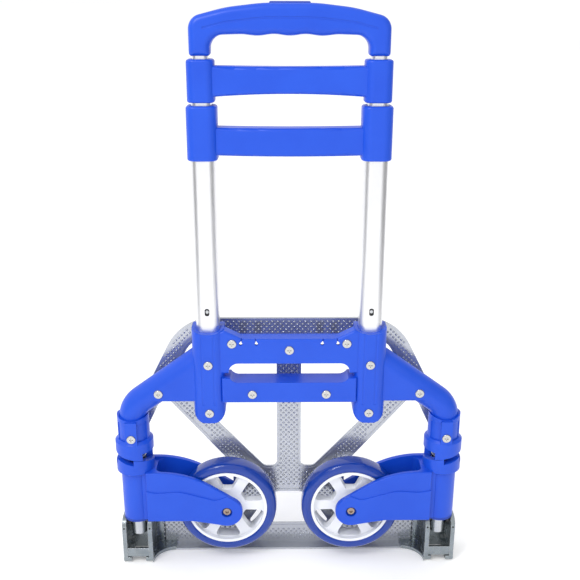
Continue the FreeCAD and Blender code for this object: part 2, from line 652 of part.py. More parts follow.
# ------------------------------------------------------------------ wheel arm
def round_end(slope, below):
    """Where a line with this fall, in degrees, touches the cheek's round end."""
    turn = radians(slope)
    if below:
        return -WHEEL_X - FORK_END_RADIUS * sin(turn), WHEEL_Z - FORK_END_RADIUS * cos(turn)
    return -WHEEL_X + FORK_END_RADIUS * sin(turn), WHEEL_Z + FORK_END_RADIUS * cos(turn)


def fork_cheek(top, y0, y1):
    """One fork cheek on the left arm, from the sleeve to its round end about the axle."""
    top_end_x, top_end_z = round_end(FORK_TOP_SLOPE, False)
    low_end_x, low_end_z = round_end(FORK_BOTTOM_SLOPE, True)
    top_corner_x = top_end_x - (top - top_end_z) / tan(radians(FORK_TOP_SLOPE))
    low_corner_x = low_end_x - (FORK_BOTTOM - low_end_z) / tan(radians(FORK_BOTTOM_SLOPE))
    outline = [(FORK_START_X, top, 0), (top_corner_x, top, 110), (top_end_x, top_end_z, 0)]
    outline += [(-WHEEL_X, WHEEL_Z, 0), (low_end_x, low_end_z, 0)]
    outline += [(low_corner_x, FORK_BOTTOM, 60), (FORK_START_X, FORK_BOTTOM, 0)]
    end = spindle(-WHEEL_X, WHEEL_Z, y0, y1, FORK_END_RADIUS)
    return fused([front_prism(outline, y0, y1), end])


def fork_panel():
    """The raised lower part of the front cheek, under a crease that runs from sleeve to axle."""
    top_crease = [(FORK_START_X, 99, 0), (-150, 96.5, 30), (-124, 98.5, 40), (-97, 90.5, 30), (-84, 86.5, 14)]
    top_crease += [(-70, 92, 0), (-40, 92, 0), (-40, 40, 0), (FORK_START_X, 40, 0)]
    proud = front_prism(top_crease, -FORK_OUTER - FORK_PANEL_PROUD, -FORK_OUTER + 1)
    cheek = fork_cheek(FORK_TOP, -FORK_OUTER - FORK_PANEL_PROUD, -FORK_OUTER + 1)
    return proud.common(cheek)


def make_arms():
    """The left sleeve and fork, moulded in one, and the same on the right."""
    sleeve = post(-LEG_X, 0, SLEEVE_BOTTOM, 124, SLEEVE_RADIUS)
    flare = Part.makeCone(SLEEVE_RADIUS, CAM_RADIUS, SLEEVE_CHAMFER, V(-LEG_X, 0, SLEEVE_STEP))
    crown = post(-LEG_X, 0, SLEEVE_STEP + SLEEVE_CHAMFER, 146, CAM_RADIUS)
    front = fork_cheek(FORK_TOP, -FORK_OUTER, -FORK_INNER)
    front = soften_faces_at(front, -FORK_OUTER, 1.6)
    panel = soften_faces_at(fork_panel(), -FORK_OUTER - FORK_PANEL_PROUD, 1.0)
    back = fork_cheek(FORK_TOP + FORK_BACK_RISE, FORK_INNER, FORK_OUTER + FORK_PANEL_PROUD)
    back = soften_faces_at(back, FORK_OUTER + FORK_PANEL_PROUD, 1.6)
    root = box(-168, -FORK_CAVITY_X + 8, -FORK_INNER - 1, FORK_INNER + 1, FORK_BOTTOM, FORK_TOP)
    cavity = [(-FORK_CAVITY_X, -FORK_INNER, 7), (-100, -FORK_INNER, 0)]
    cavity += [(-100, FORK_INNER, 0), (-FORK_CAVITY_X, FORK_INNER, 7)]
    root = root.cut(plan_prism(cavity, FORK_BOTTOM - 1, FORK_TOP + 1))
    root = root.cut(box(-164, -155.5, -FORK_INNER + 3, FORK_INNER - 3, 55, FORK_TOP - 4))
    body = fused([sleeve, flare, crown, front, panel, back, root])
    breaks = [(SLEEVE_RAMP_START, RAMP_TIP + 90.0), (RAMP_TIP + 90.0, SLEEVE_RAMP_START + 180.0)]
    cuts = [helical_cutter(sleeve_edge, breaks, True)]
    cuts.append(post(-LEG_X, 0, 50, 200, BUSH_RADIUS))
    cuts.append(post(-LEG_X, 0, BUSH_TOP + 3, 200, SPRING_CAVITY_RADIUS))
    face = -FORK_OUTER - FORK_PANEL_PROUD
    seat = face + AXLE_HEAD_RECESS + AXLE_HEAD_THICKNESS
    cuts.append(spindle(-WHEEL_X, WHEEL_Z, face - 1, seat, AXLE_SINK_RADIUS))
    cuts.append(spindle(-WHEEL_X, WHEEL_Z, face - 1, 30, AXLE_RADIUS))
    nut_start = FORK_OUTER + FORK_PANEL_PROUD - NUT_THICKNESS
    cuts.append(hexagon(-WHEEL_X, nut_start, WHEEL_Z, 2 * NUT_RADIUS).extrude(V(0, NUT_THICKNESS + 5, 0)))
    for cut in cuts:
        body = body.cut(cut)
    add_pair("wheel_fork", body)
    bush = post(-LEG_X, 0, SLEEVE_BOTTOM, BUSH_TOP, BUSH_RADIUS)
    add_pair("sleeve_bush", bush.cut(post(-LEG_X, 0, 0, 200, LEG_RADIUS + SHAFT_GAP)))
    head = spindle(-WHEEL_X, WHEEL_Z, face + AXLE_HEAD_RECESS, seat, AXLE_HEAD_RADIUS)
    head = soften_faces_at(head, face + AXLE_HEAD_RECESS, 0.8)
    key = hexagon(-WHEEL_X, face - 1, WHEEL_Z, 4.6).extrude(V(0, 1 + AXLE_HEAD_RECESS + 1.6, 0))
    shaft_end = FORK_OUTER + FORK_PANEL_PROUD - 0.4
    add_pair("axle_bolt", head.cut(key).fuse(spindle(-WHEEL_X, WHEEL_Z, seat, shaft_end, AXLE_RADIUS)))
    nut = hexagon(-WHEEL_X, nut_start, WHEEL_Z, 2 * NUT_RADIUS).extrude(V(0, NUT_THICKNESS, 0))
    add_pair("axle_nut", nut.cut(spindle(-WHEEL_X, WHEEL_Z, 0, 40, AXLE_RADIUS)))


def make_washers():
    """The thrust washer that the bracket's ears push up as the toe plate comes down."""
    disc = post(-LEG_X, 0, SLEEVE_BOTTOM - WASHER_THICKNESS, SLEEVE_BOTTOM, SLEEVE_RADIUS)
    disc = disc.cut(post(-LEG_X, 0, 0, 200, LEG_RADIUS + SHAFT_GAP))
    add_pair("thrust_washer", disc)


def spring(x, y, z0, z1, coil_radius, wire_radius, turns):
    """A coil spring standing between two heights, its wire eight-sided."""
    height = z1 - z0 - 2 * wire_radius
    helix = Part.makeHelix(height / turns, height, coil_radius)
    turns_of_eighth = [k * pi / 4 for k in range(9)]
    corners = [V(coil_radius + wire_radius * cos(t), 0, wire_radius * sin(t)) for t in turns_of_eighth]
    start = Part.Wire([Part.makePolygon(corners)])
    coil = Part.Wire(helix.Edges).makePipeShell([start], True, True)
    coil.translate(V(x, y, z0 + wire_radius))
    return coil


def make_leg_springs():
    add_pair("leg_spring", spring(-LEG_X, 0, BUSH_TOP + 3.2, COLLAR_CAVITY_TOP - 0.2, 11.4, 0.9, 7))


# ------------------------------------------------------------------ wheels
def revolved(profile):
    """Turn an outline of (radius, Y) points about the left wheel's axle."""
    face = rounded_face(profile, lambda a, b: V(-WHEEL_X + a, b, WHEEL_Z))
    return face.revolve(V(-WHEEL_X, 0, WHEEL_Z), V(0, 1, 0), 360)


def make_wheels():
    w = WHEEL_HALF_WIDTH
    seat = RIM_RADIUS - 1.6
    half = [(seat, -RIM_HALF_WIDTH + 1.6, 0), (RIM_RADIUS, -RIM_HALF_WIDTH + 0.6, 0)]
    half += [(RIM_RADIUS + 2.5, -w, 4), (WHEEL_RADIUS - 1.0, -w, 7), (WHEEL_RADIUS + 0.27, 0, 60)]
    tyre = revolved(half + [(a, -b, radius) for a, b, radius in reversed(half[:-1])])
    add_pair("tyre", tyre)
    inner = RIM_RADIUS - RIM_THICKNESS
    barrel = revolved([(inner, -RIM_HALF_WIDTH, 0), (RIM_RADIUS, -RIM_HALF_WIDTH, 0),
                       (RIM_RADIUS, -RIM_HALF_WIDTH + 0.6, 0), (seat, -RIM_HALF_WIDTH + 1.6, 0),
                       (seat, RIM_HALF_WIDTH - 1.6, 0), (RIM_RADIUS, RIM_HALF_WIDTH - 0.6, 0),
                       (RIM_RADIUS, RIM_HALF_WIDTH, 0), (inner, RIM_HALF_WIDTH, 0)])
    hub = spindle(-WHEEL_X, WHEEL_Z, -w, w, HUB_RADIUS)
    hub = hub.cut(spindle(-WHEEL_X, WHEEL_Z, -w - 1, w + 1, WHEEL_BUSH_RADIUS))
    web = spindle(-WHEEL_X, WHEEL_Z, -5.5, 5.5, inner + 0.5)
    web = web.cut(spindle(-WHEEL_X, WHEEL_Z, -20, 20, WHEEL_BUSH_RADIUS))
    window = [(21, -5.5, 3), (33, -12, 6), (41.5, -16, 4)]
    window += [(a, -b, radius) for a, b, radius in reversed(window)]
    face = rounded_face(window, lambda a, b: V(-WHEEL_X + a, -20, WHEEL_Z + b))
    opening = face.extrude(V(0, 40, 0))
    windows = []
    for k in range(SPOKES):
        turned = opening.copy()
        turned.rotate(V(-WHEEL_X, 0, WHEEL_Z), V(0, 1, 0), 30 + 360.0 / SPOKES * k)
        windows.append(turned)
    add_pair("wheel_rim", fused([barrel, hub, web.cut(fused(windows))]))
    bush = spindle(-WHEEL_X, WHEEL_Z, -w - 0.6, w + 0.6, WHEEL_BUSH_RADIUS)
    add_pair("wheel_bush", bush.cut(spindle(-WHEEL_X, WHEEL_Z, -20, 20, AXLE_RADIUS + SHAFT_GAP)))


# ------------------------------------------------------------------ toe plate
def side_line(z, inset):
    """X of the plate's slanted side edge at a height, moved inwards."""
    slope = (PLATE_HALF_WIDTH - PLATE_TOP_HALF_WIDTH) / (PLATE_TOP - PLATE_SHOULDER_Z)
    return PLATE_TOP_HALF_WIDTH + slope * (PLATE_TOP - z) - inset


def plate_outline(inset):
    low, top = PLATE_BOTTOM + inset, PLATE_TOP - inset
    right = [(side_line(top, inset), top, PLATE_TOP_CORNER - inset)]
    right += [(PLATE_HALF_WIDTH - inset, PLATE_SHOULDER_Z, 24), (PLATE_HALF_WIDTH - inset, low, 6 - inset)]
    left = [(-x, z, r) for x, z, r in reversed(right)]
    return right + left


def opening_outlines():
    """The upper and side openings on the left, then the arch in the middle."""
    band_top = PLATE_TOP - BAND_WIDTH
    upper = [(-RIB_HALF_WIDTH, band_top, 8), (-RIB_HALF_WIDTH, 107, 6), (-29, 107, 8), (-134.4, 222.1, 8),
             (-side_line(band_top, BAND_WIDTH), band_top, 26)]
    side_x = PLATE_HALF_WIDTH - BAND_WIDTH
    outer = [(-66, 62, 10), (-66, 108.8, 10), (-144.3, 201.5, 8), (-side_x, PLATE_SHOULDER_Z, 14)]
    outer.append((-side_x, 62, 10))
    arch = [(-50, 28, 4), (50, 28, 4), (22, 72, 24), (-22, 72, 24)]
    return upper, outer, arch


def with_mirror(shape):
    """A shape and its mirror image, or just the shape when it straddles the middle."""
    if shape.BoundBox.XMin < 0 < shape.BoundBox.XMax:
        return [shape]
    return [shape, mirrored(shape)]


def plate_openings():
    cuts = []
    for outline in opening_outlines():
        cuts += with_mirror(front_prism(outline, PLATE_FACE - 5, PLATE_BACK + 5))
    return cuts


def edge_beads():
    """Low ribs pressed out of the load face, following the edge of each opening."""
    beads = []
    for outline in opening_outlines():
        face = rounded_face(outline, lambda a, b: V(a, PLATE_FACE - BEAD_RISE, b))
        wide = face.makeOffset2D(BEAD_SETBACK + BEAD_WIDTH)
        narrow = face.makeOffset2D(BEAD_SETBACK)
        ring = wide.cut(narrow)
        beads += with_mirror(ring.extrude(V(0, BEAD_RISE + 0.4, 0)))
    return beads


def make_toe_plate():
    sheet = front_prism(plate_outline(0), PLATE_FACE, PLATE_FACE + PLATE_THICKNESS)
    hem = front_prism(plate_outline(0), PLATE_FACE + PLATE_THICKNESS - 0.5, PLATE_BACK)
    hem = hem.cut(front_prism(plate_outline(HEM_WIDTH), PLATE_FACE, PLATE_BACK + 1))
    flange_front = PLATE_FACE - FLANGE_DEPTH
    flange = box(-FLANGE_HALF_WIDTH, FLANGE_HALF_WIDTH, flange_front, PLATE_FACE + 1, 0, PLATE_THICKNESS)
    solid = fused([sheet, hem] + edge_beads())
    for opening in plate_openings():
        solid = solid.cut(opening)
    solid = fused([solid, flange])
    holes = [spindle(x, z, 0, 40, RIVET_RADIUS) for x, z in RIVETS]
    add("toe_panel", solid.cut(fused(holes)))


RIVETS = [(side * x, z) for side in (-1, 1) for x in (188.0, 166.0) for z in (12.0, 40.0)]


def ear(span):
    """One upright ear, its upper front corner rounded so that it cams the thrust washer up."""
    outline = [(-EAR_FRONT, 0, 4), (PLATE_FACE, 0, 0), (PLATE_FACE, 40, 0), (10, EAR_TOP, 8)]
    outline.append((-EAR_FRONT, EAR_TOP, EAR_CORNER))
    return side_prism(outline, -span[1], -span[0])


def make_brackets():
    """The left cast hinge bracket and the same on the right."""
    ears = [ear(EAR_OUTER), ear(EAR_INNER)]
    back = box(-EAR_OUTER[0] - 1, -EAR_INNER[1] + 1, BRACKET_BACK_WALL, PLATE_FACE, 0, 46)
    web = box(-EAR_OUTER[0] - 1, -EAR_INNER[1] + 1, -EAR_FRONT + 1.5, -EAR_FRONT + 4.5, 7, 18.5)
    toe_outer = box(-195.0, -186.0, -EAR_FRONT, PLATE_FACE, 0, 6.5)
    toe_inner = box(-169.0, -160.2, -EAR_FRONT, PLATE_FACE, 0, 6.5)
    toe_front = box(-199, -155, -EAR_FRONT - 1, -EAR_FRONT + 4, 0, 8)
    toe_side = [(-EAR_FRONT, 0, 4), (20, 0, 0), (20, 20, 0), (-EAR_FRONT, 20, 0)]
    toe_front = toe_front.cut(side_prism(toe_side, -200, -150))
    toes = fused([toe_outer, toe_inner]).cut(toe_front)
    gusset_depth = GUSSET_X + 160.0
    gusset = box(-161, GUSSET_X, PLATE_FACE - gusset_depth, PLATE_FACE, 0, 50)
    gusset = gusset.cut(post(GUSSET_X, PLATE_FACE - gusset_depth, -1, 60, gusset_depth))
    foot = box(-161, FOOT_SWEEP_X, -EAR_FRONT, PLATE_FACE, 0, FOOT_HEIGHT)
    foot = foot.cut(post(FOOT_SWEEP_X, -EAR_FRONT, -1, 60, FOOT_SWEEP_RADIUS))
    boss = box(-160.5, -153.5, 8, PLATE_FACE, 44, 55)
    body = fused(ears + [back, web, toes, gusset, foot, boss])
    body = body.cut(crosswise(0, PIVOT_Z, -210, -140, PIVOT_PIN_RADIUS))
    for low, high in (EAR_OUTER, EAR_INNER):
        middle = -(low + high) / 2
        body = body.cut(spindle(middle, EAR_DIMPLE_Z, -EAR_FRONT - 2, -EAR_FRONT + 3.6, EAR_DIMPLE_RADIUS))
    flange_room = box(-FLANGE_HALF_WIDTH, 0, PLATE_FACE - FLANGE_DEPTH, PLATE_FACE, -1, PLATE_THICKNESS)
    body = body.cut(flange_room)
    holes = [spindle(x, z, BRACKET_BACK_WALL - 0.5, 40, RIVET_RADIUS) for x, z in RIVETS if x < 0]
    add_pair("hinge_bracket", body.cut(fused(holes)))
    rivets = []
    for x, z in RIVETS:
        stem = spindle(x, z, BRACKET_BACK_WALL, PLATE_FACE + PLATE_THICKNESS, RIVET_RADIUS)
        head = spindle(x, z, PLATE_FACE + PLATE_THICKNESS, PLATE_BACK - 0.6, RIVET_RADIUS + 1.6)
        rivets.append(stem.fuse(head))
    add("bracket_rivets", *rivets)
    pin = crosswise(0, PIVOT_Z, -EAR_OUTER[1] - 0.2, -EAR_INNER[0], PIVOT_PIN_RADIUS)
    add_pair("pivot_pin", pin)
    spacers = []
    for x0, x1 in ((-EAR_OUTER[0], -LEG_X - LEG_RADIUS - 0.1), (-LEG_X + LEG_RADIUS + 0.1, -EAR_INNER[1])):
        ring = crosswise(0, PIVOT_Z, x0, x1, PIVOT_PIN_RADIUS + 2.2)
        spacers.append(ring.cut(crosswise(0, PIVOT_Z, x0 - 1, x1 + 1, PIVOT_PIN_RADIUS)))
    add("pivot_spacers", *(spacers + [mirrored(s) for s in spacers]))


# ------------------------------------------------------------------ sliding stages
def lock_block(x, bore, bore_corner, tube_inner, tube_corner, pin_z):
    """The plug in the bottom of a sliding tube: it runs in the tube outside and holds the lock pin."""
    bottom = pin_z - BLOCK_SKIRT
    skirt = square_bar(x, bore - 2 * SLIDE_GAP, bore_corner - SLIDE_GAP, bottom, bottom + BLOCK_HEIGHT)
    spigot_bottom = bottom + BLOCK_HEIGHT
    spigot = square_bar(x, tube_inner, tube_corner, spigot_bottom, spigot_bottom + SPIGOT_HEIGHT)
    pocket = spindle(x, pin_z, -bore, 6, LOCK_PIN_RADIUS + SHAFT_GAP)
    return skirt.fuse(spigot).cut(pocket)


def lock_pin(x, bore, pin_z):
    front = -bore / 2 + SLIDE_GAP
    pin = spindle(x, pin_z, front, front + PIN_LENGTH, LOCK_PIN_RADIUS)
    return soften_faces_at(pin, front, 0.8)


def make_stage(name, tube, corner, host_tube, host_corner, pin_z, top):
    """One sliding stage's tubes, lock blocks and lock pins."""
    bore = host_tube - 2 * TUBE_WALL
    bore_corner = host_corner - TUBE_WALL
    bottom = pin_z - BLOCK_SKIRT + BLOCK_HEIGHT
    left = square_tube(-TUBE_X, tube, corner, TUBE_WALL, bottom, top)
    if name == "mid":
        slot_z = LOCK_PIN_Z + TOP_STAGE_RISE
        for z in (slot_z, slot_z + STAGE_TRAVEL):
            left = left.cut(spindle(-TUBE_X, z, -tube, 0, LOCK_PIN_RADIUS + 0.5))
    add_pair(name + "_tube", left)
    inner = tube - 2 * TUBE_WALL
    inner_corner = corner - TUBE_WALL
    centres = [-TUBE_X, TUBE_X]
    blocks = [lock_block(x, bore, bore_corner, inner, inner_corner, pin_z) for x in centres]
    add(name + "_lock_blocks", *blocks)
    add(name + "_lock_pins", *[lock_pin(x, bore, pin_z) for x in centres])


def make_upper_collar():
    lip_bore = TOP_TUBE + 2 * MOVE_GAP
    lip_corner = TOP_CORNER + MOVE_GAP
    lip = UPPER_COLLAR_TOP - MID_TUBE_TOP - BUSH_HEIGHT
    collars = collar_pair(UPPER_COLLAR_WIDTH, UPPER_COLLAR_CORNER, UPPER_COLLAR_BOTTOM, UPPER_COLLAR_TOP,
                          MID_TUBE, MID_CORNER, lip_bore, lip_corner, lip)
    bar = bridge(UPPER_BRIDGE_BOTTOM, UPPER_BRIDGE_TOP, MID_TUBE, UPPER_BRIDGE_ARCH)
    add("upper_collar", fused(collars + [bar.cut(long_bores(MID_TUBE, MID_CORNER))]))
    add("upper_guide_bushes", *guide_bushes(MID_TUBE, MID_CORNER, TOP_TUBE, TOP_CORNER, MID_TUBE_TOP))


# ------------------------------------------------------------------ grip
def grip_arch(drop):
    """The right half of the grip's arched top line, this far below the very top."""
    top = GRIP_TOP - drop
    return [(26, top, 180), (62, top - 4.2, 130), (GRIP_HALF_WIDTH, top - 13.5, 14)]


def grip_outline():
    """Outline of the grip: arched top, two legs, and a gently finger-waved underside."""
    outer, inner = GRIP_HALF_WIDTH, GRIP_HALF_WIDTH - GRIP_LEG_WIDTH
    right = grip_arch(0) + [(outer, GRIP_BOTTOM, 3), (inner, GRIP_BOTTOM, 3), (inner, GRIP_UNDERSIDE, 13)]
    right += [(46, GRIP_UNDERSIDE + 1.0, 40), (31, GRIP_UNDERSIDE - 0.8, 40)]
    right += [(15.5, GRIP_UNDERSIDE + 1.6, 40), (0, GRIP_UNDERSIDE - 0.8, 40)]
    left = [(-x, z, r) for x, z, r in reversed(right[:-1])]
    return right + left


def grip_crease():
    """A shallow crease along the front and the back of the grip, following its arch."""
    top = GRIP_TOP - GRIP_CREASE_DROP
    upper = [(26, top, 180), (62, top - 4.2, 60), (GRIP_HALF_WIDTH - GRIP_CREASE_END, top - 9.6, 0)]
    lower = [(x, z - GRIP_CREASE_WIDTH, radius) for x, z, radius in reversed(upper)]
    mirror_upper = [(-x, z, radius) for x, z, radius in reversed(upper)]
    mirror_lower = [(-x, z, radius) for x, z, radius in reversed(lower)]
    outline = mirror_upper + upper + lower + mirror_lower
    outside, bottom = GRIP_HALF_DEPTH + 1, GRIP_HALF_DEPTH - GRIP_CREASE_DEPTH
    return [front_prism(outline, -outside, -bottom), front_prism(outline, bottom, outside)]


def grip_block():
    solid = front_prism(grip_outline(), -GRIP_HALF_DEPTH, GRIP_HALF_DEPTH)
    solid = soften_faces_at(solid, -GRIP_HALF_DEPTH, GRIP_EDGE_ROUND)
    solid = soften_faces_at(solid, GRIP_HALF_DEPTH, GRIP_EDGE_ROUND)
    for crease in grip_crease():
        solid = solid.cut(crease)
    return solid


GRIP_SCREW_X = 62.0
GRIP_SCREW_Z = OUTER_TOP + 96.6


def grip_screw(x):
    """A small screw driven from the plate side, its head sunk below the grip's surface."""
    stem = spindle(x, GRIP_SCREW_Z, -8, 10.5, 1.6)
    return stem.fuse(spindle(x, GRIP_SCREW_Z, 10.5, 12.4, 3.0))


def make_grip():
    body = grip_block()
    cavity_top = YOKE_BOTTOM + YOKE_THICKNESS + 0.6
    cavity_bottom = YOKE_BOTTOM - BUTTON_TRAVEL - 0.4
    cavity_x, cavity_y = YOKE_HALF_WIDTH + 1, BUTTON_HALF_DEPTH + 0.4
    cavity = box(-cavity_x, cavity_x, -cavity_y, cavity_y, cavity_bottom, cavity_top)
    well_x, well_y = BUTTON_HALF_WIDTH + MOVE_GAP, BUTTON_HALF_DEPTH + MOVE_GAP
    button_well = box(-well_x, well_x, -well_y, well_y, YOKE_BOTTOM, GRIP_TOP + 5)
    spring_well = post(0, 0, SPRING_WELL_BOTTOM, YOKE_BOTTOM, 4.4)
    cuts = [cavity, button_well, spring_well]
    for side in (-1, 1):
        x = side * TUBE_X
        cuts.append(square_bar(x, TOP_TUBE, TOP_CORNER, GRIP_BOTTOM - 1, TOP_TUBE_TOP))
        cuts.append(post(x, 0, TOP_TUBE_TOP - 1, YOKE_BOTTOM, ROD_RADIUS + 1.2))
    for cut in cuts:
        body = body.cut(cut)
    half = GRIP_HALF_WIDTH + 20
    front = body.common(box(-half, half, -30, 0, GRIP_BOTTOM - 18, GRIP_TOP + 13))
    rear = body.common(box(-half, half, 0, 30, GRIP_BOTTOM - 18, GRIP_TOP + 13))
    screws = [grip_screw(side * GRIP_SCREW_X) for side in (-1, 1)]
    holes = fused(screws + [spindle(side * GRIP_SCREW_X, GRIP_SCREW_Z, 10.5, 30, 3.0) for side in (-1, 1)])
    add("grip_front_shell", front.cut(holes))
    add("grip_rear_shell", rear.cut(holes))
    add("grip_screws", *screws)


def make_button():
    top = GRIP_TOP + BUTTON_PROUD
    cap_bottom = YOKE_BOTTOM + YOKE_THICKNESS
    cap = box(-BUTTON_HALF_WIDTH, BUTTON_HALF_WIDTH, -BUTTON_HALF_DEPTH, BUTTON_HALF_DEPTH, cap_bottom, top)
    cap = soften_levels_at(cap, top, 1.6)
    add("grip_button", cap)
    yoke = box(-YOKE_HALF_WIDTH, YOKE_HALF_WIDTH, -4, 4, YOKE_BOTTOM, YOKE_BOTTOM + YOKE_THICKNESS)
    rod_bottom = LOCK_PIN_Z + TOP_STAGE_RISE - BLOCK_SKIRT + BLOCK_HEIGHT + SPIGOT_HEIGHT + BUTTON_TRAVEL + 1
    rods = [post(side * TUBE_X, 0, rod_bottom, YOKE_BOTTOM, ROD_RADIUS) for side in (-1, 1)]
    add("release_yoke", fused([yoke] + rods))
    add("button_spring", spring(0, 0, SPRING_WELL_BOTTOM + 0.1, YOKE_BOTTOM - 0.1, 3.4, 0.45, 3))


def make_handle():
    make_stage("mid", MID_TUBE, MID_CORNER, OUTER_TUBE, OUTER_CORNER, LOCK_PIN_Z, MID_TUBE_TOP)
    top_pin_z = LOCK_PIN_Z + TOP_STAGE_RISE
    make_stage("top", TOP_TUBE, TOP_CORNER, MID_TUBE, MID_CORNER, top_pin_z, TOP_TUBE_TOP)
    make_upper_collar()
    make_grip()
    make_button()


# ------------------------------------------------------------------ build and export
def centre_on_base():
    """Move the whole cart so that the origin is under the middle of its box."""
    shift = V(0, (CAM_RADIUS - PLATE_BACK) / 2, 0)
    for name, shape in parts.items():
        shape.translate(shift)
    print("mast tube plane at Y =", shift.y, "; pivot height", PIVOT_Z)


def export_all():
    os.makedirs("parts", exist_ok=True)
    for name, shape in parts.items():
        shape.exportStep("parts/" + name + ".step")


def main():
    make_frame()
    make_outer_tubes()
    make_lower_collar()
    make_legs()
    make_cam_collars()
    make_leg_springs()
    make_arms()
    make_washers()
    make_wheels()
    make_toe_plate()
    make_brackets()
    make_handle()
    centre_on_base()
    export_all()
    for name, shape in parts.items():
        print(name, "solids", len(shape.Solids), "volume", round(shape.Volume), "valid", shape.isValid())


main()
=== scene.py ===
import json
import math

import bmesh
import bpy
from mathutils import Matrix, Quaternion, Vector
from mathutils.bvhtree import BVHTree

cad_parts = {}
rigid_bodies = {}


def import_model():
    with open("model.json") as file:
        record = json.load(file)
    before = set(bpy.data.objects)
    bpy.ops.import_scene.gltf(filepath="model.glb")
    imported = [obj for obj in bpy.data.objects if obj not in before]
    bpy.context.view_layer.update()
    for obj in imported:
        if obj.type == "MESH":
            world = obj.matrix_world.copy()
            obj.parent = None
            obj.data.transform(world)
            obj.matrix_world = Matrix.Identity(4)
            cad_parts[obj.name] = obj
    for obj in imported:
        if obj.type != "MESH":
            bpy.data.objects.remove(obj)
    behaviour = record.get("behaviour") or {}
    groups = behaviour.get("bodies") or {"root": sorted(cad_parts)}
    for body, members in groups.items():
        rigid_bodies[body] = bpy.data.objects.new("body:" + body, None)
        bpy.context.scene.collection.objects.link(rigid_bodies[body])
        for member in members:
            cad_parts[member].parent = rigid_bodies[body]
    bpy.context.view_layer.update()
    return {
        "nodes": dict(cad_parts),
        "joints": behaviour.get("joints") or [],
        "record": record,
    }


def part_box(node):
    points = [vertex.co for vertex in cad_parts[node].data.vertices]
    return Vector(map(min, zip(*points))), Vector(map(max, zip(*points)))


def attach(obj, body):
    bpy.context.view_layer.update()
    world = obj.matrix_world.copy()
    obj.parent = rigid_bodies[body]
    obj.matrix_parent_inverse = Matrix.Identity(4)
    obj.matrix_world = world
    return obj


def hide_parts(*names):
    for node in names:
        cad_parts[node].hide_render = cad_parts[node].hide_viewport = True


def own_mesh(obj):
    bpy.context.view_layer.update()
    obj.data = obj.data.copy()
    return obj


# A folding hand cart: moulded blue frame, silver mast, white-rimmed wheels and a dimpled toe plate.
# Everything is in metres, in the cart's own frame.

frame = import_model()
nodes = frame["nodes"]

MM = 0.001


# ------------------------------------------------------------------ shader arithmetic
class Wire:
    """A value socket that can be used in ordinary sums."""

    def __init__(self, owner, socket):
        self.owner = owner
        self.socket = socket

    def maths(self, operation, first, second):
        return self.owner.node("ShaderNodeMath", {"operation": operation}, {0: first, 1: second})

    def __add__(self, other):
        return self.maths("ADD", self, other)

    def __radd__(self, other):
        return self.maths("ADD", other, self)

    def __sub__(self, other):
        return self.maths("SUBTRACT", self, other)

    def __rsub__(self, other):
        return self.maths("SUBTRACT", other, self)

    def __mul__(self, other):
        return self.maths("MULTIPLY", self, other)

    def __rmul__(self, other):
        return self.maths("MULTIPLY", other, self)


class NodeTree:
    """A tree of shader nodes, and the one shader in it that the others feed."""

    def __init__(self, tree, shader):
        self.tree = tree
        self.shader = shader

    def node(self, kind, settings=None, sockets=None, output=0):
        """Add a node: its settings first, then the values or links of its sockets."""
        made = self.tree.nodes.new(kind)
        for key, value in (settings or {}).items():
            setattr(made, key, value)
        for key, value in (sockets or {}).items():
            self.feed(made.inputs[key], value)
        return Wire(self, made.outputs[output])

    def feed(self, socket, value):
        if isinstance(value, Wire):
            self.tree.links.new(value.socket, socket)
        else:
            socket.default_value = value

    def set(self, name, value):
        self.feed(self.shader.inputs[name], value)


class Finish(NodeTree):
    """One material: a Principled shader and the nodes that feed it."""

    def __init__(self, name, **uniform):
        self.material = bpy.data.materials.new(name)
        self.material.use_nodes = True
        tree = self.material.node_tree
        tree.nodes.clear()
        super().__init__(tree, tree.nodes.new("ShaderNodeBsdfPrincipled"))
        output = tree.nodes.new("ShaderNodeOutputMaterial")
        tree.links.new(self.shader.outputs[0], output.inputs[0])
        for key, value in uniform.items():
            self.set(key.replace("_", " ").title().replace("Ior", "IOR"), value)

    def place(self, stretch):
        """Object coordinates in metres, stretched along each axis."""
        where = self.node("ShaderNodeTexCoord", output="Object")
        return self.node("ShaderNodeVectorMath", {"operation": "MULTIPLY"}, {0: where, 1: stretch})

    def noise(self, size, detail=2.0, stretch=(1.0, 1.0, 1.0)):
        """Soft noise from 0 to 1 whose blotches are about the given size in metres."""
        sockets = {"Vector": self.place(stretch), "Scale": 1.0 / size, "Detail": detail}
        return self.node("ShaderNodeTexNoise", None, sockets)

    def spread(self, value, low, high):
        """Widen the values from low to high to the whole of 0 to 1."""
        sockets = {"Value": value, "From Min": low, "From Max": high}
        return self.node("ShaderNodeMapRange", {"clamp": True}, sockets)

    def patches(self, size, detail, low, high):
        """Noise with its middle widened, so that it makes separate patches."""
        return self.spread(self.noise(size, detail), low, high)

    def blend(self, mask, first, second):
        """A colour that goes from the first to the second as the mask goes from 0 to 1."""
        sockets = {0: mask, 6: first, 7: second}
        return self.node("ShaderNodeMix", {"data_type": "RGBA"}, sockets, output=2)

    def rounded_normal(self, radius):
        """A normal that turns smoothly round every edge, as if it had the radius."""
        return self.node("ShaderNodeBevel", {"samples": 6}, {"Radius": radius})

    def edge_mask(self, radius):
        """About 0 on flat faces and up to 1 along convex and concave edges."""
        flat = self.node("ShaderNodeNewGeometry", output="Normal")
        sockets = {0: self.rounded_normal(radius), 1: flat}
        alike = self.node("ShaderNodeVectorMath", {"operation": "DOT_PRODUCT"}, sockets, output="Value")
        return self.spread(1.0 - alike, 0.01, 0.18)

    def bump(self, height, strength, distance, edge_radius):
        """Relief of a given depth, on top of softly rounded edges."""
        sockets = {"Height": height, "Strength": strength, "Distance": distance}
        sockets["Normal"] = self.rounded_normal(edge_radius)
        self.set("Normal", self.node("ShaderNodeBump", None, sockets))


def colour(red, green, blue):
    return (red, green, blue, 1.0)


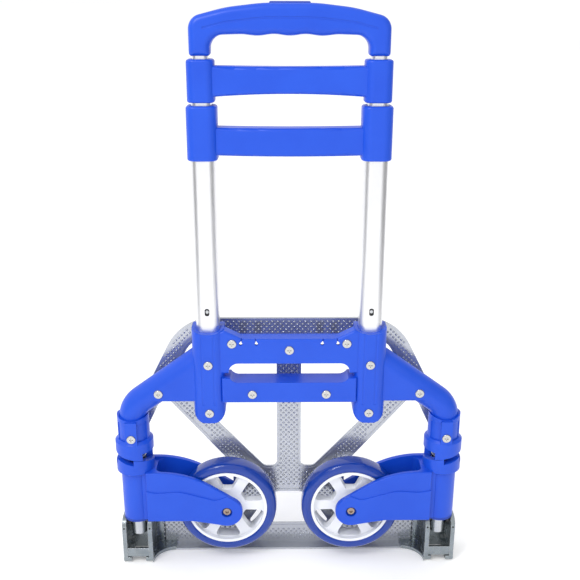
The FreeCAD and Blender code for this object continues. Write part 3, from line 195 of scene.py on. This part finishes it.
# ------------------------------------------------------------------ finishes
def moulded_plastic(name, body, light, gloss, grain):
    """Spark-textured moulding: faint tone drift, paler edges (partly rubbed wear, partly a painted
    highlight), a fine pebbled grain.
    """
    finish = Finish(name, specular_ior_level=0.42)
    drift = finish.patches(45 * MM, 3.0, 0.3, 0.7)
    # Paler patchy edges, convex and concave: partly rubbed wear, partly a painted highlight.
    worn_and_highlit_edges = finish.edge_mask(0.7 * MM) * finish.patches(9 * MM, 4.0, 0.35, 0.65)
    tone = finish.blend(drift * 0.35, body, light)
    finish.set("Base Color", finish.blend(worn_and_highlit_edges * 0.35, tone, light))
    pebble = finish.noise(0.55 * MM, 3.0)
    handled = finish.patches(30 * MM, 4.0, 0.35, 0.7)
    finish.set("Roughness", gloss - 0.05 + handled * 0.08 + pebble * 0.05)
    finish.bump(pebble, grain, 0.12 * MM, 0.5 * MM)
    return finish.material


def cast_tyre(name, body, light):
    """Glossy cast tyre with faint flow bands round the tread and a little dulling."""
    finish = Finish(name, coat_weight=0.6, coat_roughness=0.03, specular_ior_level=0.3)
    scuff = finish.patches(14 * MM, 5.0, 0.45, 0.75)
    finish.set("Base Color", finish.blend(scuff * 0.3, body, light))
    finish.set("Roughness", 0.13 + scuff * 0.12 + finish.noise(3 * MM, 3.0) * 0.05)
    flow_bands = finish.noise(7 * MM, 2.0, (0.25, 2.0, 0.25))
    finish.bump(flow_bands, 0.12, 0.25 * MM, 0.4 * MM)
    return finish.material


def brushed_metal(name, body, dark, gloss, stretch, scratch=0.25, metallic=1.0):
    """Drawn or brushed metal: fine scratches along the least stretched axis, faint clouding."""
    finish = Finish(name, metallic=metallic, specular_ior_level=0.5)
    lines = finish.noise(0.35 * MM, 2.0, stretch)
    cloud = finish.patches(28 * MM, 4.0, 0.35, 0.7)
    finish.set("Base Color", finish.blend(cloud * 0.25 + lines * 0.15, body, dark))
    finish.set("Roughness", gloss - 0.06 + lines * 0.10 + cloud * 0.05)
    finish.bump(lines, scratch, 0.02 * MM, 0.2 * MM)
    return finish.material


def cast_metal(name, body, dark, worn_and_highlight_bright, gloss):
    """Die-cast aluminium: rippled skin, darker random blotches, and bright edges that are partly rubbed
    wear and partly a painted highlight.
    """
    finish = Finish(name, metallic=0.9)
    skin = finish.noise(1.6 * MM, 4.0)
    stain = finish.patches(11 * MM, 4.0, 0.4, 0.7)
    # Bright edges, convex and concave: partly rubbed wear, partly a painted highlight.
    worn_and_highlit_edges = finish.edge_mask(0.8 * MM)
    tone = finish.blend(stain * 0.45, body, dark)
    finish.set("Base Color", finish.blend(worn_and_highlit_edges * 0.5, tone, worn_and_highlight_bright))
    finish.set("Roughness", gloss - 0.04 + stain * 0.12 + skin * 0.06)
    finish.bump(skin, 0.25, 0.15 * MM, 0.8 * MM)
    return finish.material


def plain_nylon(name, body, dusty, gloss):
    """Dark turned or moulded nylon with a fine matte skin and a little dust."""
    finish = Finish(name)
    fleck = finish.noise(0.4 * MM, 2.0)
    dust = finish.patches(8 * MM, 3.0, 0.45, 0.75)
    finish.set("Base Color", finish.blend(dust * 0.25, body, dusty))
    finish.set("Roughness", gloss + fleck * 0.08)
    finish.bump(fleck, 0.2, 0.05 * MM, 0.3 * MM)
    return finish.material


DRAWN_UPRIGHT = (1.0, 1.0, 0.03)
DRAWN_LEG = (1.0, 1.0, 0.05)
TURNED_EVENLY = (1.0, 1.0, 1.0)
TURNED_ALONG_AXLE = (1.0, 0.1, 1.0)
ROLLED_ACROSS = (0.05, 1.0, 1.0)

finish_of_slot = {
    # Each moulding's second colour is its paler random tone and also the colour of its paler edges, which
    # are partly rubbed wear and partly a painted highlight.
    "blue_plastic": moulded_plastic(
        "moulded blue", colour(0.004, 0.066, 0.58), colour(0.011, 0.098, 0.70), gloss=0.37, grain=0.16),
    "dark_blue_plastic": moulded_plastic(
        "deep blue button", colour(0.005, 0.040, 0.36), colour(0.012, 0.060, 0.45), gloss=0.45, grain=0.2),
    "white_plastic": moulded_plastic(
        "white rim", colour(0.80, 0.82, 0.86), colour(0.90, 0.91, 0.94), gloss=0.3, grain=0.08),
    "blue_tyre": cast_tyre(
        "blue tyre", colour(0.002, 0.036, 0.29), colour(0.005, 0.052, 0.36)),
    "silver_tube": brushed_metal(
        "anodised tube", colour(0.86, 0.865, 0.88), colour(0.74, 0.75, 0.78), 0.34, DRAWN_UPRIGHT),
    "steel_tube": brushed_metal(
        "plated steel", colour(0.56, 0.58, 0.60), colour(0.40, 0.42, 0.44), 0.26, DRAWN_LEG),
    "screw_steel": brushed_metal(
        "bright screw", colour(0.58, 0.58, 0.57), colour(0.42, 0.42, 0.41), 0.24, TURNED_EVENLY,
        scratch=0.15),
    "bronzed_axle": brushed_metal(
        "bronzed axle", colour(0.40, 0.31, 0.25), colour(0.27, 0.20, 0.16), 0.28, TURNED_ALONG_AXLE,
        scratch=0.15),
    "plate_aluminium": brushed_metal(
        "plate aluminium", colour(0.51, 0.53, 0.57), colour(0.41, 0.43, 0.47), 0.19, ROLLED_ACROSS,
        scratch=0.12, metallic=0.72),
    # The last colour is the bright edge colour: partly rubbed wear, partly a painted highlight.
    "cast_aluminium": cast_metal(
        "cast aluminium", colour(0.30, 0.335, 0.355), colour(0.17, 0.20, 0.22), colour(0.86, 0.88, 0.89),
        gloss=0.24),
    "black_nylon": plain_nylon(
        "black nylon", colour(0.02, 0.02, 0.022), colour(0.10, 0.10, 0.11), gloss=0.45),
}

CREASE_ANGLE = math.radians(32)


def shade_smooth_by_angle(mesh):
    """Round faces look round, and edges sharper than the crease angle stay crisp."""
    mesh.polygons.foreach_set("use_smooth", [True] * len(mesh.polygons))
    working = bmesh.new()
    working.from_mesh(mesh)
    crisp = []
    for edge in working.edges:
        joins_two = len(edge.link_faces) == 2
        crisp.append(not joins_two or edge.calc_face_angle() > CREASE_ANGLE)
    working.free()
    for edge, is_crisp in zip(mesh.edges, crisp):
        edge.use_edge_sharp = is_crisp


def finish_cad_nodes():
    for subpart in frame["record"]["subparts"]:
        mesh = nodes[subpart["node"]].data
        mesh.materials.clear()
        mesh.materials.append(finish_of_slot[subpart["material_slot"]])
        shade_smooth_by_angle(mesh)


# ------------------------------------------------------------------ toe plate dimples
DOT_PITCH_X = 6.2 * MM
DOT_PITCH_Z = 3.15 * MM
DOT_RADIUS = 1.4 * MM
DOT_RISE = 0.9 * MM
DOT_SIDES = 10
DOT_RINGS = [(1.0, -0.05), (0.86, 0.42), (0.55, 0.8)]  # share of the radius, share of the rise
DOT_MARGIN = 3.4 * MM
PROBES = [(0, 0), (1, 0), (-1, 0), (0, 1), (0, -1), (0.7, 0.7), (-0.7, 0.7), (0.7, -0.7), (-0.7, -0.7)]
LOAD_FACE_Y = 20.1 * MM
PROBE_START_Y = LOAD_FACE_Y - 4 * MM
FLAT_WITHIN = 0.1 * MM


def is_open_sheet(tree, x, z):
    """True where the load face is flat here and all round, a dot's margin wide."""
    for across, up in PROBES:
        start = Vector((x + across * DOT_MARGIN, PROBE_START_Y, z + up * DOT_MARGIN))
        hit = tree.ray_cast(start, Vector((0, 1, 0)))[0]
        if hit is None or abs(hit.y - LOAD_FACE_Y) > FLAT_WITHIN:
            return False
    return True


def add_dome(working, x, z):
    """A low round dome standing out of the load face."""
    loops = []
    for radius_share, rise_share in DOT_RINGS:
        loop = []
        for side in range(DOT_SIDES):
            turn = 2 * math.pi * side / DOT_SIDES
            across = DOT_RADIUS * radius_share * math.cos(turn)
            up = DOT_RADIUS * radius_share * math.sin(turn)
            loop.append(working.verts.new((x + across, LOAD_FACE_Y - DOT_RISE * rise_share, z + up)))
        loops.append(loop)
    top = working.verts.new((x, LOAD_FACE_Y - DOT_RISE, z))
    for side in range(DOT_SIDES):
        following = (side + 1) % DOT_SIDES
        for lower, upper in zip(loops, loops[1:]):
            working.faces.new((lower[side], lower[following], upper[following], upper[side]))
        working.faces.new((loops[-1][side], loops[-1][following], top))
    working.faces.new(list(reversed(loops[0])))


def make_toe_dots():
    """Staggered rows of domes, wherever the plate has room for them."""
    sheet = bmesh.new()
    sheet.from_mesh(nodes["toe_panel"].data)
    tree = BVHTree.FromBMesh(sheet)
    sheet.free()
    low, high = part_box("toe_panel")
    rows = int((high.z - low.z) / DOT_PITCH_Z)
    columns = int((high.x - low.x) / DOT_PITCH_X)
    dots = bmesh.new()
    for row in range(rows + 1):
        stagger = 0.5 * DOT_PITCH_X * (row % 2)
        z = low.z + row * DOT_PITCH_Z
        for column in range(-columns // 2, columns // 2 + 1):
            x = column * DOT_PITCH_X + stagger
            if is_open_sheet(tree, x, z):
                add_dome(dots, x, z)
    bmesh.ops.recalc_face_normals(dots, faces=dots.faces)
    mesh = bpy.data.meshes.new("toe_plate_dots")
    dots.to_mesh(mesh)
    dots.free()
    mesh.polygons.foreach_set("use_smooth", [True] * len(mesh.polygons))
    mesh.materials.append(finish_of_slot["plate_aluminium"])
    thing = add_to_scene("toe_plate_dots", mesh)
    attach(thing, "toe_plate")


# ------------------------------------------------------------------ springs
def make_working_spring(joint, node_name):
    """A copy of the coil in the same place, carried by the joint's parent body, with the original part
    hidden.
    """
    coil = add_to_scene(node_name + "_coil", nodes[node_name].data.copy())
    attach(coil, joint["parent"])
    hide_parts(node_name)
    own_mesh(coil)


def make_working_springs():
    for joint in frame["joints"]:
        for spring in joint.get("deforming_nodes", []):
            make_working_spring(joint, spring["node"])


# ------------------------------------------------------------------ floor
FLOOR_REACH = 12.0
FLOOR_DROP = 0.5 * MM
WHITE = colour(1.0, 1.0, 1.0)


def add_to_scene(name, data):
    thing = bpy.data.objects.new(name, data)
    bpy.context.scene.collection.objects.link(thing)
    return thing


def card_mesh(name, corners, finish):
    mesh = bpy.data.meshes.new(name)
    mesh.from_pydata(corners, [], [(0, 1, 2, 3)])
    mesh.materials.append(finish.material)
    return mesh


def make_floor():
    finish = Finish("pale floor", roughness=0.6, specular_ior_level=0.2, emission_strength=0.16)
    finish.set("Emission Color", WHITE)
    clouding = finish.noise(0.8)
    finish.set("Base Color", finish.blend(clouding, colour(0.94, 0.94, 0.945), colour(0.96, 0.96, 0.96)))
    signs = ((-1, -1), (1, -1), (1, 1), (-1, 1))
    corners = [(FLOOR_REACH * x, FLOOR_REACH * y, 0) for x, y in signs]
    floor = add_to_scene("floor", card_mesh("floor", corners, finish))
    floor.location.z = -FLOOR_DROP


# ------------------------------------------------------------------ light
SKY_STRENGTH = 1.27
# Brightness from the left of the sky, 0, to the right, 1: both ends, then the points between.
SKY_ENDS = [(0.0, 1.0), (1.0, 0.42)]
SKY_BETWEEN = [(0.33, 0.80), (0.68, 0.80)]


def add_softbox(name, place, aim, size, power):
    light = bpy.data.lights.new(name, "AREA")
    light.shape = "RECTANGLE"
    light.size, light.size_y = size
    light.energy = power
    lamp = add_to_scene(name, light)
    lamp.location = place
    lamp.rotation_euler = (Vector(aim) - Vector(place)).to_track_quat("-Z", "Y").to_euler()


def add_flag(name, near_end, far_end, height, grey):
    """An upright card that only shows in reflections, for soft dark bands on tubes and mouldings."""
    finish = Finish(name, roughness=0.9)
    finish.set("Base Color", colour(grey, grey, grey))
    corners = [(*near_end, 0), (*far_end, 0), (*far_end, height), (*near_end, height)]
    card = add_to_scene(name, card_mesh(name, corners, finish))
    card.visible_camera = False
    card.visible_diffuse = False
    card.visible_shadow = False


def make_sky():
    """A white sky, brighter on the left than on the right."""
    world = bpy.data.worlds.new("studio")
    bpy.context.scene.world = world
    world.use_nodes = True
    sky = NodeTree(world.node_tree, world.node_tree.nodes["Background"])
    sky.set("Color", WHITE)
    where = sky.node("ShaderNodeTexCoord", output="Generated")
    from_left = sky.node("ShaderNodeSeparateXYZ", None, {0: where}, output="X")
    share = sky.node("ShaderNodeMapRange", None, {"Value": from_left, "From Min": -1.0, "From Max": 1.0})
    brightness = sky.node("ShaderNodeFloatCurve", None, {"Value": share})
    mapping = brightness.socket.node.mapping
    curve = mapping.curves[0]
    for point, place in zip(curve.points, SKY_ENDS):
        point.location = place
    for place in SKY_BETWEEN:
        curve.points.new(*place)
    mapping.update()
    sky.set("Strength", brightness * SKY_STRENGTH)


def make_light():
    make_sky()
    add_softbox("key", (-1.0, -1.2, 1.7), (0, 0, 0.3), (0.6, 0.5), 12)
    add_softbox("fill", (1.2, -1.4, 1.0), (0, 0, 0.3), (0.8, 0.8), 2)
    add_softbox("top_strip", (-0.42, -0.62, 1.3), (0, 0, 0.12), (0.34, 0.08), 1.6)
    add_flag("flag_right", (0.70, -1.3), (0.95, 0.3), 1.5, 0.26)
    add_flag("flag_left", (-0.66, -1.0), (-0.86, -0.1), 1.4, 0.30)
    bpy.context.scene.view_settings.view_transform = "Standard"


# ------------------------------------------------------------------ camera
CAMERA_PLACE = (-0.0102, -0.8538, 0.6236)
CAMERA_AIM = (0.0129, 0.9469, -0.3211)
CAMERA_ROLL = 0.0025
CAMERA_SHIFT_X = -0.001
CAMERA_LENS = 51.85
CAMERA_SENSOR = 36.0


def make_camera():
    data = bpy.data.cameras.new("camera")
    data.lens = CAMERA_LENS
    data.sensor_width = CAMERA_SENSOR
    data.shift_x = CAMERA_SHIFT_X
    camera = add_to_scene("camera", data)
    camera.location = CAMERA_PLACE
    camera.rotation_mode = "QUATERNION"
    level = Vector(CAMERA_AIM).to_track_quat("-Z", "Y")
    camera.rotation_quaternion = level @ Quaternion((0, 0, 1), CAMERA_ROLL)
    bpy.context.scene.camera = camera


finish_cad_nodes()
make_toe_dots()
make_working_springs()
make_floor()
make_light()
make_camera()
